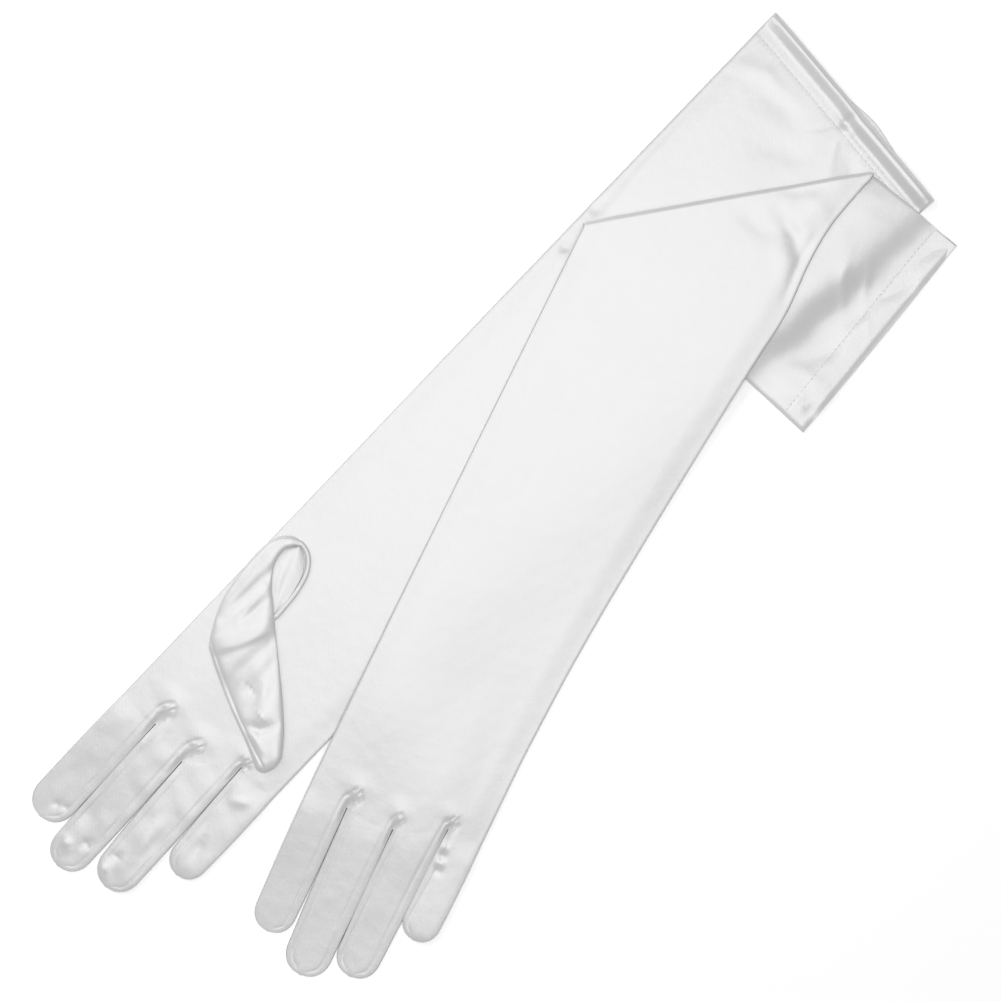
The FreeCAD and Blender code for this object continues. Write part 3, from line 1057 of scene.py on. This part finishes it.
def thumb_pieces(glove, points, u, v, top, under):
    """Cuts a thumb into the layer that lies on top and the one beneath."""
    normals = outward(grid_normals(points), points)
    return cut_tube(glove.side, points, np.stack([u, v], -1), normals, [
        (f"thumb_{top}", 0, THUMB_COLUMNS, "glove_satin", [f"{glove.side}_thumb_{top}"]),
        (f"thumb_{under}", THUMB_COLUMNS, 0, "glove_satin", [f"{glove.side}_thumb_{under}"]),
    ])


def make_right_thumb():
    u, v, z, layer, profile = thumb_grid(lambda u, v: right_top(u, v) + 0.25, RIGHT_THUMB_HEIGHT)
    relief = thumb_relief(u, v) * np.minimum(profile * 1.3, 1)
    # a narrow seam allowance shows as a step along the left side
    d, _ = distance_to(spline(ALLOWANCE, 40), u, v)
    z = z + np.where(layer > 0, relief, 0) - np.where(layer > 0, 0.45 * bell(d - 2.2, 0.5), 0)
    for ob in thumb_pieces(RIGHT, to_points(RIGHT, u, v, z), u, v, "front", "back"):
        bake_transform(ob)


SEAM_LOOP = [(8, 209.4), (13.8, 211.6), (20.8, 209), (26.2, 202), (29.2, 191), (30.2, 179), (30.4, 171)]
BEAD_HALF_WIDTH = 1.35


def cord_along(path, radius_out, height, base, sides):
    """A flattened bead that follows a path lying on base(u, v)."""
    path = np.asarray(path)
    way = np.gradient(path, axis=0)
    way /= np.linalg.norm(way, axis=1, keepdims=True)
    side = np.stack([-way[:, 1], way[:, 0]], -1)
    angles = np.linspace(0, 2 * math.pi, sides + 1)[:-1]
    count = len(path)
    fade = np.sqrt(np.clip(np.minimum(np.arange(count), np.arange(count)[::-1]) / 6, 0.05, 1))
    u = path[:, None, 0] + side[:, None, 0] * np.cos(angles) * radius_out * fade[:, None]
    v = path[:, None, 1] + side[:, None, 1] * np.cos(angles) * radius_out * fade[:, None]
    z = base(path[:, 0], path[:, 1])[:, None] + height * (0.5 + 0.5 * np.sin(angles)) * fade[:, None]
    return u, v, z


def thumb_seam(glove, count, height, base, sides):
    """The bead of the seam round a thumb's root."""
    name = f"{glove.side}_thumb_seam"
    u, v, z = cord_along(spline(SEAM_LOOP, count), BEAD_HALF_WIDTH, height, base, sides)
    points = to_points(glove, u, v, z)
    ob = tube(f"{name}_cloth", points, np.stack([u, v], -1), "seam_satin", cap_end=True, cap_start=True)
    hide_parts(name)
    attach(ob, f"{glove.side}_glove")


def make_gusset():
    """The cloth that shows inside the right thumb's loop."""
    left = [(13, 209.5), (9, 204), (9, 195), (13, 186.5), (22, 179), (29.5, 173)]
    right = [(14.5, 210), (20, 207), (25, 200), (28, 190), (29, 181), (30.3, 173.5)]
    left = spline(left, 50)
    right = spline(right, 50)
    share = np.linspace(0, 1, 25)
    u = left[:, None, 0] + (right - left)[:, None, 0] * share
    v = left[:, None, 1] + (right - left)[:, None, 1] * share
    bowl = 1 - np.abs(2 * share - 1) ** 2
    z = right_top(u, v) + 1.3 - 1.3 * bowl + 0.7 * bell(share - 0.42, 0.14) * bell(v - 192, 12)
    points = to_points(RIGHT, u, v, z)
    ob = tube("right_thumb_gusset", points, np.stack([u, v], -1), "glove_satin", closed=False)
    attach(ob, "right_glove")


# ---- the left glove's turned-under cuff ----

def heights_of(function, glove):
    """A height map of a glove's top, 0 outside its outline."""
    h = Heights()
    u, v = glove.local(h.x, h.y)
    inside = (u > glove.folded(v)) & (u < glove.seam(v))
    front = np.array(glove.crotches)
    inside &= v > np.interp(u, front[:, 0], front[:, 1])
    (ua, va), (ub, vb) = glove.cuff
    inside &= v < va + (vb - va) * (u - ua) / (ub - ua)
    h.z = np.where(inside, function(u, v), 0)
    return h


UNDER_RIGHT = heights_of(lambda u, v: np.full(u.shape, HAND_HEIGHT + FLOOR + 0.3), RIGHT)
OVER_RIGHT = UNDER_RIGHT.draped(5, 5)
WIDE_RIGHT = UNDER_RIGHT.draped(28, 4)
FLAP_HEIGHT = 2.4


def flap_base(u, v):
    """Bottom of the turned-under cuff: over the right glove's sleeve, then down beside it."""
    fu, fv = turned_under(u, v)
    x, y = LEFT.row(fu, fv)
    z = OVER_RIGHT.at(x, y) + 0.1
    return np.maximum(z, FLOOR)


def flap_relief(u, v):
    """Relief of the turned-under cuff, whose lower layer in the flat lies on top."""
    hem, d, _ = hem_relief(LEFT, u, v)
    z = hem + 0.14 * ripples(u, v, 40, 9) + 0.03 * ripples(u, v, 12, 10)
    z = z - 0.3 * smooth((2.5 - d) / 2.5)
    # it falls away from the hand's edge, and stands up again in a broad roll beside the hem
    fu, fv = turned_under(u, v)
    s = (fu - 136) * 0.93 - (fv - 438) * 0.369
    middle = smooth((fv - 392) / 30) * smooth((516.0 - fv) / 16)
    wave = 2.2 * np.sin(fv / 8) + 1.2 * np.sin(fv / 3.7 + 1)
    early = 9.0 * smooth((fv - 460) / 26)
    reach = (s + 14.0 + early - wave) / (26.0 + early)
    fall = 0.4 - 2.7 * (0.6 * smooth(reach) + 0.4 * np.clip(reach, 0, 1))
    z = z + middle * fall + (0.4 + 1.2 * middle) * smooth((s - 12.0 - wave) / 11)
    z = z - 0.5 * smooth((3.2 - d) / 3.2)
    return add_creases(z, fu, fv, 0.35, [
        ([(147, 470), (153, 452), (163, 436)], 2.4, 0.35),
        ([(134, 470), (138, 455), (146, 442)], 3, 0.4),
        ([(150, 389), (156, 383)], 4, -0.9),
        ([(126, 402), (140, 404), (156, 400)], 3, 0.4),
        ([(168, 420), (176, 428)], 2.4, -0.45),
        ([(128, 500), (146, 497), (168, 493)], 3, -0.3),
    ])


def flap_z(u, v, layer):
    """z of the turned-under cuff's layers."""
    profile = edge_profile(LEFT, u, v)
    base = flap_base(u, v)
    z = layered(0, FLAP_HEIGHT, base, profile, -layer)
    z = z + np.where(layer < 0, flap_relief(u, v) * np.minimum(profile * 1.5, 1), 0)
    # the layers rest on each other where the cloth falls furthest
    lifted = base + 0.4 + 0.3 * np.log1p(np.exp(np.clip((z - base - 0.4) / 0.3, -30, 30)))
    return np.where(layer < 0, lifted, z)


def flap_place(u, v, z):
    """Row frame points of the turned-under cuff."""
    fu, fv = turned_under(u, v)
    return to_points(LEFT, fu, fv, z)


def make_flap():
    """The end of the left sleeve, turned under; returns its first row, at the fold."""
    share, layer = hand_columns(LEFT)
    fold_row = fold_line_row(share)
    back_v = cuff_v(LEFT, share) - HEM_DEPTH
    rows = int((back_v.mean() - fold_row.mean()) / ROW_STEP)
    t = np.linspace(0, 1, rows + 1)[:, None]
    v = fold_row + (back_v - fold_row) * t
    u = u_at(LEFT, share, v)
    points = flap_place(u, v, flap_z(u, v, layer))
    flat = np.stack([u, v], -1)
    normals = outward(grid_normals(points), points)
    parts = hand_parts("left", "back", "palm", "cuff_")
    for ob in cut_tube("left", points, flat, normals, parts):
        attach(ob, "left_cuff")
    hem_piece(LEFT, share, layer, lambda u, v: flap_z(u, v, layer), flap_place, left_gape, "left_cuff")
    stitches(LEFT, lambda u, v: flap_z(u, v, -np.ones(u.shape)), flap_place, "left_cuff")
    return points


def fold_line_row(share):
    """v of the fold for each column."""
    v = np.full(share.shape, FOLD_AT[1])
    for _ in range(12):
        v = fold_v(u_at(LEFT, share, v))
    return v


# ---- the left hand ----

THUMB_HINGE = np.array([16.5, 198])
LEFT_THUMB_HEIGHT = 1.2


def left_thumb_base(u, v):
    """Bottom of the left thumb, draped over the right glove."""
    return np.maximum(WIDE_RIGHT.at(*LEFT.row(u, v)) + 0.2, FLOOR)


def swung(points, degrees):
    """Points of the flat left glove turned about the thumb's hinge."""
    turn = math.radians(degrees)
    du, dv = (points - THUMB_HINGE).T
    return THUMB_HINGE + np.stack([du * math.cos(turn) - dv * math.sin(turn),
                                   du * math.sin(turn) + dv * math.cos(turn)], -1)


def left_support():
    """Heights that the left hand and sleeve are laid over."""
    h = Heights(UNDER_RIGHT.z.copy())
    x, y = h.x, h.y
    u, v = LEFT.local(x, y)
    # the turned-under cuff: find where each spot would be with the sleeve open
    ou, ov = turned_under(u, v)
    share = (ou - LEFT.cuff[0][0]) / (LEFT.cuff[1][0] - LEFT.cuff[0][0])
    inside = (beyond_fold(u, v) < 0) & (ov < cuff_v(LEFT, share))
    inside &= (ou > LEFT.folded(ov)) & (ou < LEFT.seam(ov))
    flap_top = np.maximum(OVER_RIGHT.z + 0.1, FLOOR) + FLAP_HEIGHT + 0.3
    h.z = np.where(inside, np.maximum(h.z, flap_top), h.z)
    h = h.draped(18, 1)
    # the thumb under the palm
    left = spline(THUMB_LEFT, 40)
    right = spline(THUMB_RIGHT, 40)
    thumb_top = np.maximum(WIDE_RIGHT.z + 0.2, FLOOR) + LEFT_THUMB_HEIGHT + 0.2
    for degrees in (0, -5, -10, -15):
        spine, _ = distance_to(swung((left + right) / 2, degrees), u, v)
        h.z = np.where(spine < 9, np.maximum(h.z, thumb_top), h.z)
    return h.draped(8, 18)


SUPPORT = left_support()


def left_base(u, v):
    """Bottom of the left hand and sleeve, draped over all that lies beneath."""
    x, y = LEFT.row(u, v)
    z = np.maximum(SUPPORT.at(x, y), FLOOR)
    z = z + 1.3 * (1 - smooth((u - 60) / 24)) * knuckle_lift(v)
    # at the fold the lower layer lies just above the hinge line
    near = smooth(1 + beyond_fold(u, v) / 26)
    return z * (1 - near) + np.maximum(z, FOLD_Z + 0.15) * near


def left_relief(u, v):
    """Relief of the left hand's back and its sleeve."""
    z = hand_relief(LEFT, u, v)
    # soft folds beside the right end of the slanting fold
    z = add_creases(z, u, v, 0.3, [
        ([(91, 473), (104, 466), (114, 454)], 4.2, -1.1),
        ([(102, 487), (113, 484), (118, 478)], 4, 0.3),
        ([(98, 458), (106, 450), (112, 438)], 4.6, 0.3),
        ([(72, 465), (86, 462), (99, 463)], 5.5, -0.6),
        ([(84, 484), (96, 488), (108, 497)], 4, -0.5),
        ([(114, 470), (112.5, 452), (114, 432)], 2.4, -0.5),
    ])
    # the cloth swells a little just inside the fold
    return z + 0.15 * bell(beyond_fold(u, v) + 14, 9)


def left_finger_relief(u, v):
    """Relief of the left fingers."""
    z = left_relief(u, v) + 0.06 * ripples(u, v, 19, 51)
    # gathers on the inner side of the little finger
    gathers = ((78.6, 93.5, 0.6), (79.6, 89, -0.6), (80.4, 85, 0.6), (81.2, 80.5, -0.5))
    for spot_u, spot_v, rise in gathers:
        z = z + rise * np.exp(-((u - spot_u) / 2.6) ** 2 - ((v - spot_v) / 2) ** 2)
    return z


def make_left():
    hand, flat, normals, fingers = build_glove(
        LEFT, fold_line_row, left_base, left_relief, left_finger_relief)
    for ob in cut_tube("left", hand, flat, normals, hand_parts("left", "back", "palm")):
        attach(ob, "left_glove")
    finger_pieces(LEFT, "back", "front", fingers, hand[1])
    return hand


def make_fold(hand, flap):
    """The cloth that goes round the fold: from each column of the hand's end to the same one of the cuff."""
    top = hand[-1]
    low = flap[0]
    share, _ = hand_columns(LEFT)
    out_x = FOLD_OUT[0] * LEFT.across[0] + FOLD_OUT[1] * LEFT.along[0]
    out_y = FOLD_OUT[0] * LEFT.across[1] + FOLD_OUT[1] * LEFT.along[1]
    middle = (top + low) / 2
    half = (top[:, 2] - low[:, 2]) / 2
    angles = np.linspace(math.pi / 2, -math.pi / 2, 15)
    rows = []
    for a in angles:
        p = middle + (top - low) / 2 * math.sin(a)
        p[:, 0] += out_x * half * math.cos(a)
        p[:, 1] += out_y * half * math.cos(a)
        rows.append(p)
    points = np.stack(rows)
    v = fold_line_row(share)
    u = u_at(LEFT, share, v)
    arc = (angles[0] - angles)[:, None] * np.abs(half)
    flat = np.stack([u + 0 * arc, v + arc], -1)
    normals = outward(grid_normals(points, before=hand[-2], after=flap[1]), points)
    # the outer cloth hides the inner, so each has its own piece
    parts = [
        ("fold_outer", AROUND - EDGE_COLUMNS, OVER + EDGE_COLUMNS, "glove_satin", ["left_fold_crease"]),
        ("fold_inner", OVER + EDGE_COLUMNS, AROUND - EDGE_COLUMNS, "glove_satin", []),
    ]
    made = cut_tube("left", points, flat, normals, parts)
    for ob, ends in zip(made, ((low[:OVER, 2].mean(), top[:OVER, 2].mean()),
                               (low[OVER + 9:-9, 2].mean(), top[OVER + 9:-9, 2].mean()))):
        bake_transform(ob)


def make_left_thumb():
    u, v, z, _, _ = thumb_grid(left_thumb_base, LEFT_THUMB_HEIGHT)
    for ob in thumb_pieces(LEFT, to_points(LEFT, u, v, z), u, v, "back", "front"):
        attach(ob, "left_thumb")


make_right()
make_right_thumb()
thumb_seam(RIGHT, 90, 1.9, lambda u, v: right_top(u, v) - 0.1, 14)
make_gusset()
FLAP = make_flap()
HAND = make_left()
make_fold(HAND, FLAP)
make_left_thumb()
thumb_seam(LEFT, 60, LEFT_THUMB_HEIGHT, left_thumb_base, 10)


# ---- stage, light and camera ----

def make_floor():
    """A white table top, lit a little from within like a light table."""
    half = 4.0
    corners = [(-half, -half, 0), (half, -half, 0), (half, half, 0), (-half, half, 0)]
    mesh = bpy.data.meshes.new("floor")
    mesh.from_pydata(corners, [], [(0, 1, 2, 3)])
    mesh.materials.append(new_material(
        "floor_white", Base_Color=(0.95, 0.95, 0.95, 1), Roughness=0.9, Emission_Color=(1, 1, 1, 1),
        Emission_Strength=0.19, Specular_IOR_Level=0.1)[0])
    floor = bpy.data.objects.new("floor", mesh)
    bpy.context.scene.collection.objects.link(floor)


def area_light(name, at, aim, size, power):
    data = bpy.data.lights.new(name, "AREA")
    data.shape = "SQUARE"
    data.size = size
    data.energy = power
    ob = bpy.data.objects.new(name, data)
    ob.location = at
    ob.rotation_euler = (Vector(aim) - Vector(at)).to_track_quat("-Z", "Y").to_euler()
    bpy.context.scene.collection.objects.link(ob)


def make_lights():
    """A large soft light overhead, a small one from the side, and a bright room."""
    area_light("softbox", (0.07, 0.12, 1.8), (0, 0, 0), 1.55, 17.5)
    area_light("side_light", (-1, 0.75, 0.95), (-0.05, 0, 0), 0.8, 6)
    world = bpy.data.worlds.new("studio")
    world.use_nodes = True
    background = world.node_tree.nodes["Background"]
    background.inputs["Color"].default_value = (1, 1, 1, 1)
    background.inputs["Strength"].default_value = 0.34
    bpy.context.scene.world = world


CAMERA_CENTRE = (0.00108, -0.00091)
FRAME_WIDTH = 0.5305         # metres of the table that the camera sees


def make_camera():
    """Looks straight down."""
    data = bpy.data.cameras.new("camera")
    data.sensor_width = 36.0
    data.lens = 85.0
    camera = bpy.data.objects.new("camera", data)
    camera.location = (*CAMERA_CENTRE, FRAME_WIDTH * data.lens / data.sensor_width + 0.004)
    camera.rotation_euler = (0, 0, 0)
    bpy.context.scene.collection.objects.link(camera)
    bpy.context.scene.camera = camera


make_floor()
make_lights()
make_camera()
bpy.context.scene.view_settings.view_transform = "Standard"
bpy.context.scene.view_settings.look = "None"
